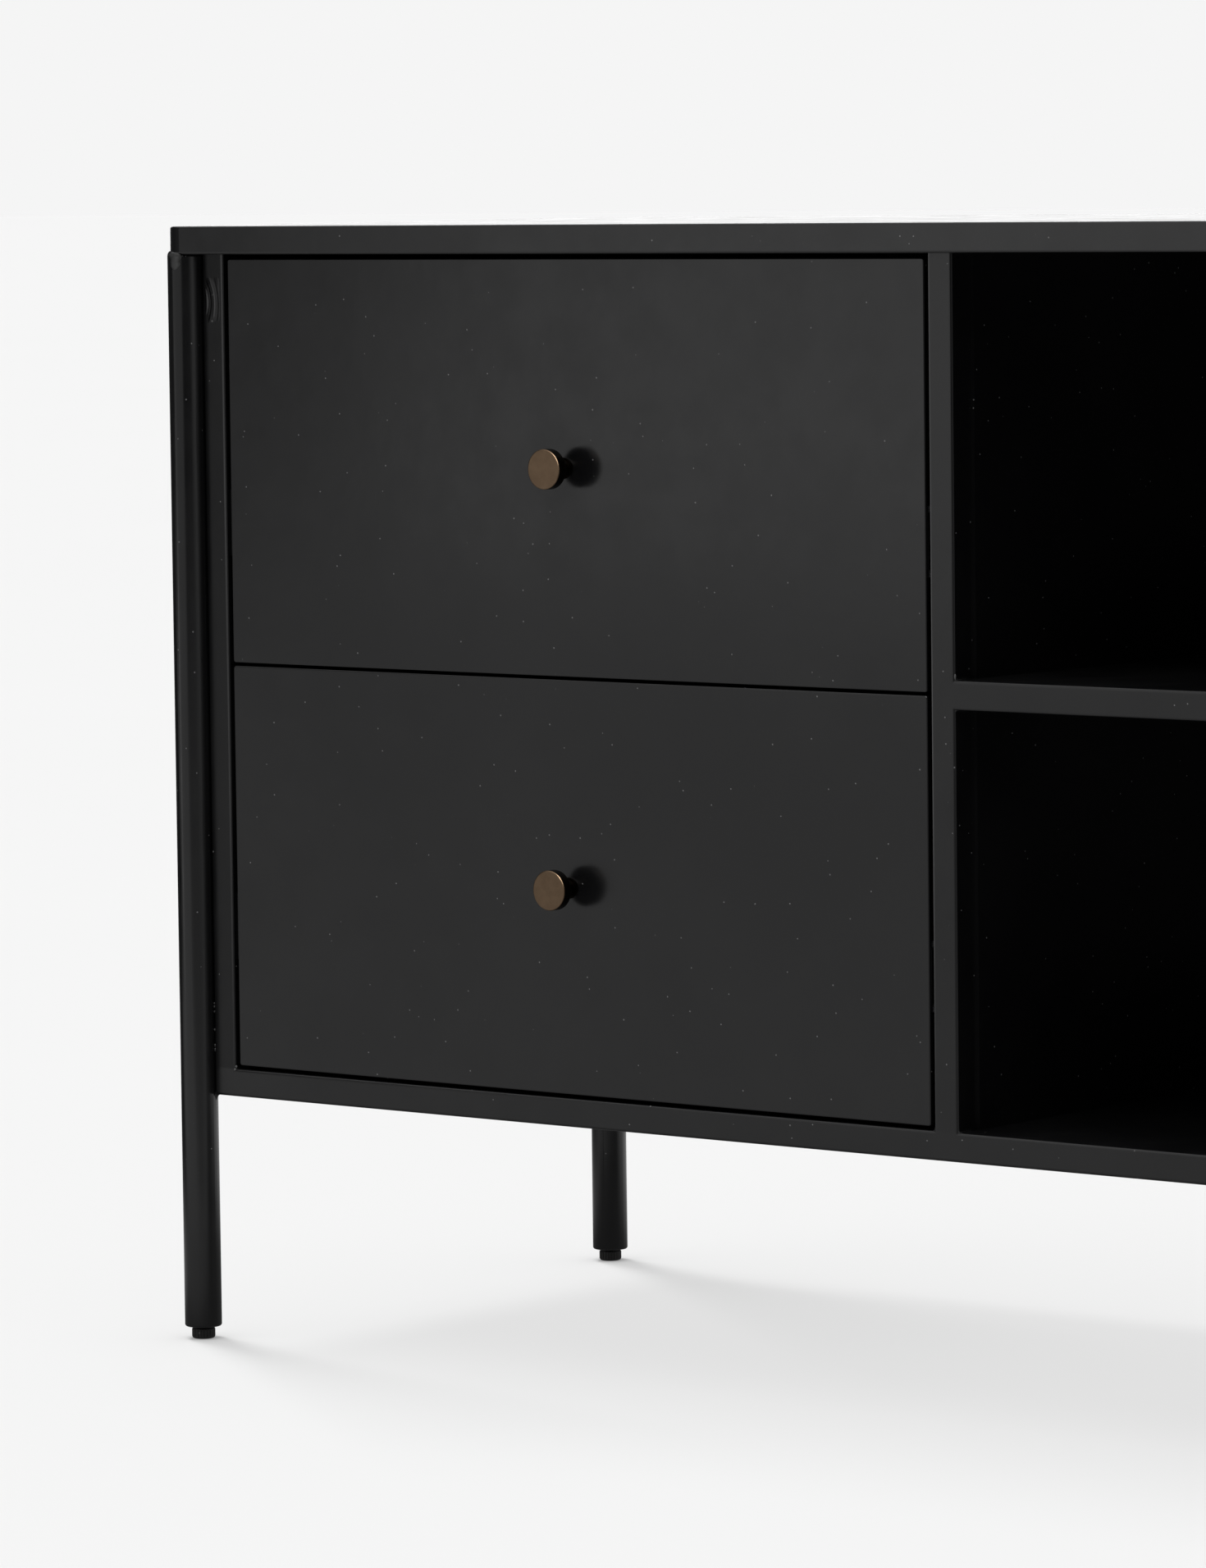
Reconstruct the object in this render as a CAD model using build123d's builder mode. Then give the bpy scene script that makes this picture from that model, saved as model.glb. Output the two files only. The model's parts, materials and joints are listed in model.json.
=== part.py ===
from build123d import *
import os

# Overall size over the top panel, from the floor up
overall_width = 1905.0
overall_depth = 470.0
overall_height = 762.0

# Top panel: a folded sheet pan, closed from below by a flat sheet
top_thickness = 19.05
top_corner_radius = 18.0
top_edge_rounding = 1.5
top_lip_rounding = 1.6
top_sheet = 2.0

# Legs: round tube with a threaded plug and a screw-in glide at the foot
leg_diameter = 25.4
leg_wall = 2.0
leg_end_rounding = 1.6
plug_length = 22.0
stud_diameter = 8.0
stud_engagement = 19.0
glide_diameter = 16.0
glide_height = 7.0
glide_neck = 1.4
glide_top_rounding = 0.8
glide_foot_rounding = 1.8
knurl_count = 24
knurl_diameter = 0.9

# Face frame and rear frame: rectangular tube
tube_width = 19.05
tube_depth = 25.4
tube_wall = 1.5
tube_corner = 2.0
frame_offset = 1.3
base_clearance = 168.9

# Sheet panels of the case
panel_sheet = 1.5
floor_sheet = 2.0
liner_sheet = 2.0
liner_lap = 4.9

# Drawer fronts: flat plates, set into the face frame
front_thickness = 3.0
front_corner = 2.0
front_edge_rounding = 1.0
front_recess = 1.0
gap_side = 3.2
gap_top = 3.2
gap_middle = 2.0
gap_bottom = 2.4

# Drawer boxes: plywood walls round a thinner bottom
box_rear_gap = 38.0
box_wall = 12.0
box_bottom_drop = 14.0
box_top_drop = 40.0
box_edge_rounding = 1.5
bottom_sheet = 6.0
bottom_rise = 10.0
groove_depth = 5.0

# Drawer slides: three nested channels on each side of a drawer
slide_thickness = 12.7
slide_height = 45.0
slide_sheet = 1.2
slide_rise = 95.0
slide_offset = 1.0
outer_shortfall = 4.7
middle_shortfall = 3.2

# Knobs and the screws that hold them
knob_diameter = 26.5
knob_projection = 22.2
knob_head = 7.8
knob_edge_rounding = 0.8
knob_flare = 4.2
knob_neck_diameter = 11.0
knob_base_diameter = 14.0
knob_base_height = 1.6
screw_diameter = 4.0
screw_thread = 8.0
screw_head_diameter = 8.0
screw_head_height = 2.6
screw_slot_width = 1.0
screw_slot_depth = 1.2

# Clearances
seat_gap = 0.1
sheet_play = 0.1
plug_fit = 0.02
stud_play = 0.05
slide_play = 0.3
groove_play = 0.1
hole_play = 0.25
thread_play = 0.02

# The frame and the side panels stand just behind the axes of the legs
leg_radius = leg_diameter / 2
frame_setback = leg_radius + frame_offset

# Places along X, measured from the middle to the right: three equal bays, parted by two dividers
half_width = overall_width / 2
leg_x = half_width - leg_radius
stile_outer_x = half_width - leg_diameter - seat_gap
stile_inner_x = stile_outer_x - tube_width
bay_width = (2 * stile_inner_x - 2 * tube_width) / 3
divider_inner_x = bay_width / 2
divider_outer_x = divider_inner_x + tube_width
drawer_bay_x = (stile_inner_x + divider_outer_x) / 2
panel_outer_x = half_width - frame_setback
side_rail_outer_x = panel_outer_x - panel_sheet
side_rail_inner_x = side_rail_outer_x - tube_width

# Places along Y, with the knobs counted in the depth that is centred on the origin
knob_proud = max(knob_projection - frame_setback - front_recess, 0.0)
front_y = knob_proud - (overall_depth + knob_proud) / 2
back_y = front_y + overall_depth
middle_y = (front_y + back_y) / 2
frame_front_y = front_y + frame_setback
frame_back_y = frame_front_y + tube_depth
rear_back_y = back_y - frame_setback
rear_front_y = rear_back_y - tube_depth
drawer_face_y = frame_front_y + front_recess
box_front_y = drawer_face_y + front_thickness
box_back_y = rear_back_y - box_rear_gap
slide_front_y = box_front_y + slide_offset
slide_back_y = box_back_y + slide_offset
liner_front_y = frame_back_y - liner_lap

# Heights from the floor
leg_foot_z = glide_height + glide_neck
rail_bottom_z = base_clearance
rail_top_z = rail_bottom_z + tube_width
top_under_z = overall_height - top_thickness
front_height = (top_under_z - rail_top_z - gap_top - gap_middle - gap_bottom) / 2
lower_front_z = rail_top_z + gap_bottom
upper_front_z = lower_front_z + front_height + gap_middle
shelf_middle_z = lower_front_z + front_height + gap_middle / 2
shelf_bottom_z = shelf_middle_z - tube_width / 2
shelf_top_z = shelf_middle_z + tube_width / 2

front_width = bay_width - 2 * gap_side

SIDES = {"left": -1, "right": 1}
ROWS = {"front": front_y + leg_radius, "rear": back_y - leg_radius}
LEVELS = {"upper": upper_front_z, "lower": lower_front_z}


def keep(piece, name):
    """Labels a finished piece and writes it as its own file."""
    piece.part.label = name
    export_step(piece.part, f"parts/{name}.step")


def block(low, high, mode=Mode.ADD):
    """A box between two opposite corners, in the piece that is being built."""
    spans = [sorted(pair) for pair in zip(low, high)]
    with Locations(tuple(sum(span) / 2 for span in spans)):
        Box(*[span[1] - span[0] for span in spans], mode=mode)


def tube(low, high, axis):
    """A rectangular tube between two opposite corners, open at both ends."""
    spans = [sorted(pair) for pair in zip(low, high)]
    along = (Axis.X, Axis.Y, Axis.Z).index(axis)
    bore = [(a + tube_wall, b - tube_wall) for a, b in spans]
    bore[along] = spans[along]
    with BuildPart() as length:
        block(low, high)
        fillet(length.edges().filter_by(axis), tube_corner)
        block(*zip(*bore), mode=Mode.SUBTRACT)
    return length.part


def make_top():
    with BuildPart() as panel:
        with BuildSketch(Plane.XY.offset(top_under_z)):
            with Locations((0, middle_y)):
                RectangleRounded(overall_width, overall_depth, top_corner_radius)
        extrude(amount=top_thickness)
        fillet(panel.edges().group_by(Axis.Z)[-1], top_edge_rounding)
        fillet(panel.edges().group_by(Axis.Z)[0], top_lip_rounding)
        with BuildSketch(Plane.XY.offset(top_under_z)):
            with Locations((0, middle_y)):
                RectangleRounded(
                    overall_width - 2 * top_sheet,
                    overall_depth - 2 * top_sheet,
                    top_corner_radius - top_sheet,
                )
        extrude(amount=top_thickness - top_sheet, mode=Mode.SUBTRACT)
    keep(panel, "top_panel")

    inset = top_sheet + sheet_play
    with BuildPart() as underside:
        with BuildSketch(Plane.XY.offset(top_under_z)):
            with Locations((0, middle_y)):
                RectangleRounded(
                    overall_width - 2 * inset, overall_depth - 2 * inset, top_corner_radius - inset
                )
        extrude(amount=panel_sheet)
    keep(underside, "top_underside")


def make_leg(name, x, y):
    with BuildPart() as leg:
        with BuildSketch(Plane.XY.offset(leg_foot_z)):
            with Locations((x, y)):
                Circle(leg_radius)
                Circle(leg_radius - leg_wall, mode=Mode.SUBTRACT)
        extrude(amount=top_under_z - leg_foot_z)
        rims = leg.edges().filter_by(GeomType.CIRCLE).group_by(SortBy.RADIUS)[-1]
        fillet(rims, leg_end_rounding)
    keep(leg, name)


def make_glide(name, x, y):
    """A knurled foot with a threaded stud that runs in the leg's plug."""
    with BuildPart() as glide:
        with BuildSketch():
            with Locations((x, y)):
                Circle(glide_diameter / 2)
        extrude(amount=glide_height)
        fillet(glide.edges().group_by(Axis.Z)[-1], glide_top_rounding)
        fillet(glide.edges().group_by(Axis.Z)[0], glide_foot_rounding)
        with Locations((x, y, glide_height / 2)):
            with PolarLocations(glide_diameter / 2, knurl_count):
                Cylinder(knurl_diameter / 2, glide_height, mode=Mode.SUBTRACT)
        with BuildSketch(Plane.XY.offset(glide_height)):
            with Locations((x, y)):
                Circle(stud_diameter / 2)
        extrude(amount=glide_neck + stud_engagement)
    keep(glide, name)


def make_leg_plugs():
    with BuildPart() as plugs:
        with BuildSketch(Plane.XY.offset(leg_foot_z)):
            with Locations([(sign * leg_x, y) for sign in SIDES.values() for y in ROWS.values()]):
                Circle(leg_radius - leg_wall - plug_fit)
                Circle(stud_diameter / 2 + stud_play, mode=Mode.SUBTRACT)
        extrude(amount=plug_length)
    keep(plugs, "leg_plugs")


def face_frame():
    """The front frame with its joints ground flush, before it is parted into its tubes."""
    with BuildPart() as frame:
        with BuildSketch(Plane.XZ.offset(-frame_front_y)):
            with Locations((0, (rail_bottom_z + top_under_z) / 2)):
                Rectangle(2 * stile_outer_x, top_under_z - rail_bottom_z)
            bay_z = (rail_top_z + top_under_z) / 2
            with Locations([(sign * drawer_bay_x, bay_z) for sign in SIDES.values()]):
                Rectangle(bay_width, top_under_z - rail_top_z, mode=Mode.SUBTRACT)
            for low, high in ((rail_top_z, shelf_bottom_z), (shelf_top_z, top_under_z)):
                with Locations((0, (low + high) / 2)):
                    Rectangle(bay_width, high - low, mode=Mode.SUBTRACT)
        extrude(amount=-tube_depth)
        face = frame.faces().sort_by(Axis.Y)[0]
        rounded = face.edges().filter_by(lambda edge: edge.center().Z < top_under_z - tube_corner)
        fillet(rounded, tube_corner)
    return frame.part


def make_face_frame():
    frame = face_frame()
    depth = (frame_front_y, frame_back_y)
    bore = (frame_front_y + tube_wall, frame_back_y - tube_wall)
    uprights = {}
    for side, sign in SIDES.items():
        uprights[f"front_{side}_stile"] = (sign * stile_inner_x, sign * stile_outer_x)
        uprights[f"{side}_divider_post"] = (sign * divider_inner_x, sign * divider_outer_x)
    for name, span in uprights.items():
        inner, outer = sorted(span)
        with BuildPart() as upright:
            add(frame)
            block((inner, depth[0], rail_top_z), (outer, depth[1], top_under_z), mode=Mode.INTERSECT)
            block(
                (inner + tube_wall, bore[0], rail_top_z),
                (outer - tube_wall, bore[1], top_under_z),
                mode=Mode.SUBTRACT,
            )
        keep(upright, name)

    rails = {
        "bottom_front_rail": (stile_outer_x, rail_bottom_z, rail_top_z),
        "shelf_front_rail": (divider_inner_x, shelf_bottom_z, shelf_top_z),
    }
    for name, (reach, low, high) in rails.items():
        with BuildPart() as rail:
            add(frame)
            block((-reach, depth[0], low), (reach, depth[1], high), mode=Mode.INTERSECT)
            block(
                (-reach, bore[0], low + tube_wall), (reach, bore[1], high - tube_wall), mode=Mode.SUBTRACT
            )
        keep(rail, name)


def make_rear_frame():
    with BuildPart() as posts:
        for sign in SIDES.values():
            for inner, outer in ((stile_inner_x, stile_outer_x), (divider_inner_x, divider_outer_x)):
                low = (sign * inner, rear_front_y, rail_top_z)
                high = (sign * outer, rear_back_y, top_under_z)
                add(tube(low, high, Axis.Z))
    keep(posts, "rear_posts")

    with BuildPart() as rear_rail:
        low = (-stile_outer_x, rear_front_y, rail_bottom_z)
        add(tube(low, (stile_outer_x, rear_back_y, rail_top_z), Axis.X))
    keep(rear_rail, "bottom_rear_rail")

    with BuildPart() as side_rails:
        for sign in SIDES.values():
            low = (sign * side_rail_inner_x, frame_back_y, rail_bottom_z)
            add(tube(low, (sign * side_rail_outer_x, rear_front_y, rail_top_z), Axis.Y))
    keep(side_rails, "bottom_side_rails")


def make_side_panel(side, sign):
    """The outer sheet between the legs, and the inner sheet that carries the drawer slides."""
    with BuildPart() as panel:
        block(
            (sign * side_rail_outer_x, front_y + leg_diameter + seat_gap, rail_bottom_z),
            (sign * panel_outer_x, back_y - leg_diameter - seat_gap, top_under_z),
        )
        block(
            (sign * stile_inner_x, frame_back_y, rail_top_z),
            (sign * (stile_inner_x + panel_sheet), rear_front_y, top_under_z),
        )
    keep(panel, f"{side}_side_panel")


def make_partition(side, sign):
    """The drawer-side sheet of a divider, and the liner that laps its posts in the open bay."""
    with BuildPart() as partition:
        block(
            (sign * (divider_outer_x - panel_sheet), frame_back_y, rail_top_z),
            (sign * divider_outer_x, rear_front_y, top_under_z),
        )
        liner_x = (sign * (divider_inner_x - liner_sheet), sign * divider_inner_x)
        block((liner_x[0], liner_front_y, rail_top_z), (liner_x[1], rear_back_y, top_under_z))
        block(
            (liner_x[0], liner_front_y, shelf_bottom_z),
            (liner_x[1], frame_back_y, shelf_top_z),
            mode=Mode.SUBTRACT,
        )
    keep(partition, f"{side}_partition")


def make_inner_panels():
    with BuildPart() as back:
        block(
            (-stile_outer_x, rear_back_y, rail_bottom_z),
            (stile_outer_x, rear_back_y + panel_sheet, top_under_z),
        )
    keep(back, "back_panel")

    with BuildPart() as floor:
        block(
            (-side_rail_inner_x, frame_back_y, rail_top_z - floor_sheet),
            (side_rail_inner_x, rear_front_y, rail_top_z),
        )
    keep(floor, "bottom_panel")

    reach = divider_inner_x - liner_sheet
    with BuildPart() as shelf:
        for low in (shelf_bottom_z, shelf_top_z - floor_sheet):
            block((-reach, frame_back_y, low), (reach, rear_back_y, low + floor_sheet))
    keep(shelf, "shelf_panel")


def channel(face_x, inward, z, start, end, half_height, web_at_start):
    """One slide channel. start and end are measured inward from the face that carries the slide."""
    with BuildPart() as bar:
        with BuildSketch(Plane.XZ.offset(-slide_front_y)):
            with Locations((face_x + inward * (start + end) / 2, z)):
                Rectangle(end - start, 2 * half_height)
            shift = slide_sheet / 2 if web_at_start else -slide_sheet / 2
            with Locations((face_x + inward * ((start + end) / 2 + shift), z)):
                Rectangle(end - start - slide_sheet, 2 * (half_height - slide_sheet), mode=Mode.SUBTRACT)
        extrude(amount=slide_front_y - slide_back_y)
    return bar.part


def slide_faces(sign):
    """The two faces that carry a drawer's slides, each with its direction into the bay."""
    low, high = sorted((sign * divider_outer_x, sign * stile_inner_x))
    return ((low, 1), (high, -1))


def make_outer_slides():
    reach = slide_thickness - outer_shortfall
    with BuildPart() as slides:
        for sign in SIDES.values():
            for front_z in LEVELS.values():
                z = front_z + slide_rise
                for face_x, inward in slide_faces(sign):
                    add(channel(face_x, inward, z, 0, reach, slide_height / 2, True))
    keep(slides, "slide_outer_channels")


def make_moving_slides(name, sign, front_z):
    step = slide_sheet + slide_play
    middle_half = slide_height / 2 - step
    inner_half = middle_half - step
    reach = slide_thickness - middle_shortfall
    z = front_z + slide_rise
    with BuildPart() as middle:
        for face_x, inward in slide_faces(sign):
            add(channel(face_x, inward, z, step, reach, middle_half, True))
    keep(middle, f"{name}_slide_middle_channels")

    with BuildPart() as inner:
        for face_x, inward in slide_faces(sign):
            add(channel(face_x, inward, z, 2 * step, slide_thickness, inner_half, False))
    keep(inner, f"{name}_slide_inner_channels")


def make_drawer_front(name, x, front_z):
    z = front_z + front_height / 2
    with BuildPart() as front:
        with BuildSketch(Plane.XZ.offset(-drawer_face_y)):
            with Locations((x, z)):
                RectangleRounded(front_width, front_height, front_corner)
        extrude(amount=-front_thickness)
        fillet(front.faces().sort_by(Axis.Y)[0].edges(), front_edge_rounding)
        with BuildSketch(Plane.XZ.offset(-drawer_face_y)):
            with Locations((x, z)):
                Circle(screw_diameter / 2 + hole_play)
        extrude(amount=-front_thickness, mode=Mode.SUBTRACT)
    keep(front, f"{name}_front")


def make_drawer_box(name, x, front_z):
    half = bay_width / 2 - slide_thickness
    low_z = front_z + box_bottom_drop
    high_z = front_z + front_height - box_top_drop
    groove_z = (low_z + bottom_rise - groove_play, low_z + bottom_rise + bottom_sheet + groove_play)
    inside = half - box_wall
    inner_front_y = box_front_y + box_wall
    inner_back_y = box_back_y - box_wall
    with BuildPart() as walls:
        for sign in SIDES.values():
            block((x + sign * inside, box_front_y, low_z), (x + sign * half, box_back_y, high_z))
        rims = walls.edges().filter_by(Axis.Y).group_by(Axis.Z)[-1]
        fillet(rims, box_edge_rounding)
        for sign in SIDES.values():
            block(
                (x + sign * inside, box_front_y, groove_z[0]),
                (x + sign * (inside + groove_depth), box_back_y, groove_z[1]),
                mode=Mode.SUBTRACT,
            )
    keep(walls, f"{name}_box_sides")

    with BuildPart() as ends:
        block((x - inside, box_front_y, low_z), (x + inside, inner_front_y, high_z))
        block((x - inside, inner_back_y, low_z), (x + inside, box_back_y, high_z))
        rims = ends.edges().filter_by(Axis.X).group_by(Axis.Z)[-1]
        fillet(rims, box_edge_rounding)
        for face_y, deep in ((inner_front_y, -groove_depth), (inner_back_y, groove_depth)):
            block(
                (x - inside, face_y, groove_z[0]),
                (x + inside, face_y + deep, groove_z[1]),
                mode=Mode.SUBTRACT,
            )
        with BuildSketch(Plane.XZ.offset(-box_front_y)):
            with Locations((x, front_z + front_height / 2)):
                Circle(screw_diameter / 2 + hole_play)
        extrude(amount=-box_wall, mode=Mode.SUBTRACT)
    keep(ends, f"{name}_box_ends")

    tongue = groove_depth - groove_play
    with BuildPart() as bottom:
        block(
            (x - inside - tongue, inner_front_y - tongue, low_z + bottom_rise),
            (x + inside + tongue, inner_back_y + tongue, low_z + bottom_rise + bottom_sheet),
        )
    keep(bottom, f"{name}_bottom")


def make_knob(name, x, front_z):
    """A flat round head on a waisted neck, turned about an axis square to the drawer front."""
    z = front_z + front_height / 2
    profile_plane = Plane(origin=(x, drawer_face_y, z), x_dir=(1, 0, 0), z_dir=(0, 0, 1))
    turning = Axis((x, drawer_face_y, z), (0, 1, 0))
    head_back = knob_projection - knob_head
    neck = knob_neck_diameter / 2
    with BuildPart() as knob:
        with BuildSketch(profile_plane):
            with BuildLine():
                Polyline(
                    (neck, -head_back + knob_flare),
                    (neck, -knob_base_height),
                    (knob_base_diameter / 2, -knob_base_height),
                    (knob_base_diameter / 2, 0),
                    (0, 0),
                    (0, -knob_projection),
                    (knob_diameter / 2, -knob_projection),
                    (knob_diameter / 2, -head_back),
                    (neck + knob_flare, -head_back),
                )
                RadiusArc((neck + knob_flare, -head_back), (neck, -head_back + knob_flare), knob_flare)
            make_face()
        revolve(axis=turning)
        rims = knob.edges().filter_by(GeomType.CIRCLE).group_by(SortBy.RADIUS)[-1]
        fillet(rims, knob_edge_rounding)
        with BuildSketch(Plane.XZ.offset(-drawer_face_y)):
            with Locations((x, z)):
                Circle(screw_diameter / 2 + thread_play)
        extrude(amount=screw_thread, mode=Mode.SUBTRACT)
    keep(knob, f"{name}_knob")

    seat_y = box_front_y + box_wall
    with BuildPart() as screw:
        with BuildSketch(Plane.XZ.offset(-seat_y)):
            with Locations((x, z)):
                Circle(screw_diameter / 2)
        extrude(amount=box_wall + front_thickness + screw_thread)
        with BuildSketch(Plane.XZ.offset(-seat_y)):
            with Locations((x, z)):
                Circle(screw_head_diameter / 2)
        extrude(amount=-screw_head_height)
        fillet(screw.faces().sort_by(Axis.Y)[-1].edges(), screw_head_height / 2)
        head_y = seat_y + screw_head_height
        half_slot = screw_slot_width / 2
        block(
            (x - screw_head_diameter / 2, head_y - screw_slot_depth, z - half_slot),
            (x + screw_head_diameter / 2, head_y, z + half_slot),
            mode=Mode.SUBTRACT,
        )
    keep(screw, f"{name}_knob_screw")


os.makedirs("parts", exist_ok=True)

make_top()
for row, row_y in ROWS.items():
    for side, sign in SIDES.items():
        make_leg(f"{row}_{side}_leg", sign * leg_x, row_y)
        make_glide(f"{row}_{side}_glide", sign * leg_x, row_y)
make_leg_plugs()
make_face_frame()
make_rear_frame()
for side, sign in SIDES.items():
    make_side_panel(side, sign)
    make_partition(side, sign)
make_inner_panels()
make_outer_slides()
for level, front_z in LEVELS.items():
    for side, sign in SIDES.items():
        drawer = f"{level}_{side}_drawer"
        make_drawer_front(drawer, sign * drawer_bay_x, front_z)
        make_drawer_box(drawer, sign * drawer_bay_x, front_z)
        make_knob(drawer, sign * drawer_bay_x, front_z)
        make_moving_slides(drawer, sign, front_z)
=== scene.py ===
import bmesh
import bpy
import json
import math
from mathutils import Matrix, Vector


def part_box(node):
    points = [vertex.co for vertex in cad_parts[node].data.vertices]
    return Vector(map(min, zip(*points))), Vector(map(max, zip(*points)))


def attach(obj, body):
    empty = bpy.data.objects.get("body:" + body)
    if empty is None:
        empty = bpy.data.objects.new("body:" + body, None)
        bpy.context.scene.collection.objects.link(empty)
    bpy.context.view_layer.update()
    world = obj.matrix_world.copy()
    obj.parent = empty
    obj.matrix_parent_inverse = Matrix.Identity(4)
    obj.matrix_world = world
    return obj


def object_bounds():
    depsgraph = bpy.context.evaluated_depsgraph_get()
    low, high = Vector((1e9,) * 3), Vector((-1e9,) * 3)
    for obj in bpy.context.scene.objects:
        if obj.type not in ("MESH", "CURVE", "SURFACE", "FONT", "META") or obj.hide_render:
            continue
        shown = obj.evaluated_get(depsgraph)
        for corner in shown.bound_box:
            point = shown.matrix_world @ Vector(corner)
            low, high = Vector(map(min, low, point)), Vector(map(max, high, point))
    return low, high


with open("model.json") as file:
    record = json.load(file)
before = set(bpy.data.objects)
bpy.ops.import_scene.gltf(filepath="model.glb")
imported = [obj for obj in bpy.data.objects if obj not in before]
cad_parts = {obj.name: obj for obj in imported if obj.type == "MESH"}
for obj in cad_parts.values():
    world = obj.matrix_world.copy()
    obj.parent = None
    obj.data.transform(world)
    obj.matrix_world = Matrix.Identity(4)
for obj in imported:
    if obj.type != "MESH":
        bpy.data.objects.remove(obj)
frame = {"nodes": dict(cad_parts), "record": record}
cad_low, cad_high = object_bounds()
nodes = frame["nodes"]
scene = bpy.context.scene
scene.view_settings.view_transform = "Standard"

MM = 0.001
FULL_TURN = 2 * math.pi
SIDES = {"left": -1, "right": 1}
ROWS = ("front", "rear")
LEVELS = ("upper", "lower")
DRAWERS = [f"{level}_{side}_drawer" for level in LEVELS for side in SIDES]


# Materials

NOISE_SPAN = (0.3, 0.7)


class Graph:
    """A node tree, emptied, with short calls to add nodes to it."""

    def __init__(self, tree):
        self.tree = tree
        tree.nodes.clear()

    def feed(self, socket, value):
        """Link a socket to another one, or set its own value."""
        if isinstance(value, bpy.types.NodeSocket):
            self.tree.links.new(value, socket)
        else:
            socket.default_value = value

    def add(self, kind, settings=None, **values):
        node = self.tree.nodes.new(kind)
        for key, value in (settings or {}).items():
            setattr(node, key, value)
        for key, value in values.items():
            self.feed(node.inputs[key.replace("_", " ")], value)
        return node

    def math(self, operation, a, b=0.0):
        node = self.add("ShaderNodeMath", {"operation": operation})
        self.feed(node.inputs[0], a)
        self.feed(node.inputs[1], b)
        return node.outputs[0]

    def ramp(self, value, low, high, to_low=0.0, to_high=1.0):
        """A smooth step from to_low to to_high, while the value goes from low to high."""
        node = self.add("ShaderNodeMapRange", {"interpolation_type": "SMOOTHSTEP"}, Value=value)
        for key, number in (("From Min", low), ("From Max", high), ("To Min", to_low), ("To Max", to_high)):
            node.inputs[key].default_value = number
        return node.outputs["Result"]


class Shader(Graph):
    """A material with one Principled shader."""

    def __init__(self, name):
        self.material = bpy.data.materials.new(name)
        self.material.use_nodes = True
        super().__init__(self.material.node_tree)
        output = self.add("ShaderNodeOutputMaterial")
        self.principled = self.add("ShaderNodeBsdfPrincipled")
        self.feed(output.inputs["Surface"], self.principled.outputs[0])
        self.place = self.add("ShaderNodeTexCoord").outputs["Object"]

    def set(self, name, value):
        self.feed(self.principled.inputs[name], value)

    def stretched(self, scale):
        return self.add("ShaderNodeMapping", Vector=self.place, Scale=scale).outputs[0]

    def noise(self, scale, detail=3.0, roughness=0.5, vector=None):
        node = self.add(
            "ShaderNodeTexNoise", Vector=vector or self.place, Scale=scale, Detail=detail, Roughness=roughness
        )
        return node.outputs["Fac"]

    def mix(self, factor, a, b):
        node = self.add("ShaderNodeMix", {"data_type": "RGBA"})
        self.feed(node.inputs["Factor"], factor)
        for socket, colour in ((node.inputs[6], a), (node.inputs[7], b)):
            self.feed(socket, colour if isinstance(colour, bpy.types.NodeSocket) else (*colour, 1.0))
        return node.outputs[2]

    def bump(self, height, strength, distance, under=None):
        node = self.add("ShaderNodeBump", Strength=strength, Distance=distance, Height=height)
        if under is not None:
            self.feed(node.inputs["Normal"], under)
        return node.outputs[0]


def coated_iron(name, dark, light, rough, specular, peel, relief=0.08 * MM):
    """Black powder coat over iron: a fine peel, faint smudges, and sparse specks of dust."""
    cloud_scale, smudge_scale, peel_scale, wave_scale = 7.0, 26.0, 900.0, 55.0
    cloud_span, smoother, rougher = (0.35, 0.65), 0.03, 0.04
    speck_scale, speck_span, speck_colour = 95.0, (0.035, 0.055), (0.12, 0.12, 0.12)
    wave_strength, wave_relief = 0.12, 0.4 * MM
    s = Shader(name)
    cloud = s.noise(cloud_scale, detail=5.0, roughness=0.6)
    tone = s.mix(s.ramp(cloud, *cloud_span), dark, light)
    specks = s.add("ShaderNodeTexVoronoi", Vector=s.place, Scale=speck_scale)
    dust = s.ramp(specks.outputs["Distance"], *speck_span, 1.0, 0.0)
    s.set("Base Color", s.mix(dust, tone, speck_colour))
    smudge = s.noise(smudge_scale, detail=6.0, roughness=0.65)
    s.set("Roughness", s.ramp(smudge, *NOISE_SPAN, rough - smoother, rough + rougher))
    s.set("Specular IOR Level", specular)
    orange_peel = s.noise(peel_scale, detail=2.0)
    wave = s.noise(wave_scale, detail=2.0)
    soft = s.bump(wave, wave_strength, wave_relief)
    s.set("Normal", s.bump(orange_peel, peel, relief, soft))
    return s.material


def bronze(face_y):
    """Dark antique bronze, turned on a lathe and rubbed bright on the face of the head; behind the face it
    turns near-black, as dark patina and as painted shade on the rim's back, the sides and the neck.
    """
    dark, bright, patina_and_painted_shade = (0.128, 0.086, 0.054), (0.152, 0.103, 0.065), (0.008, 0.006, 0.004)
    rubbed_face_depth, painted_shade_depth = 0.7 * MM, 1.1 * MM
    patina_scale, gloss_scale, grain_scale = 160.0, 420.0, 1500.0
    smoothest, roughest, grain_strength, grain_relief = 0.3, 0.38, 0.08, 0.06 * MM
    s = Shader("antique_bronze")
    patina = s.noise(patina_scale, detail=6.0, roughness=0.65)
    rubbed = s.mix(s.ramp(patina, *NOISE_SPAN), dark, bright)
    depth = s.add("ShaderNodeSeparateXYZ", Vector=s.place).outputs["Y"]
    # Near-black behind the face: dark patina, and painted shade where the sides and neck mirror the black
    # drawer front
    rubbed_face_vs_painted_shade = s.ramp(depth, face_y + rubbed_face_depth, face_y + painted_shade_depth, 1.0, 0.0)
    s.set("Base Color", s.mix(rubbed_face_vs_painted_shade, patina_and_painted_shade, rubbed))
    s.set("Metallic", 1.0)
    s.set("Roughness", s.ramp(s.noise(gloss_scale, detail=3.0), *NOISE_SPAN, smoothest, roughest))
    s.set("Normal", s.bump(s.noise(grain_scale, detail=2.0), grain_strength, grain_relief))
    return s.material


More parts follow.
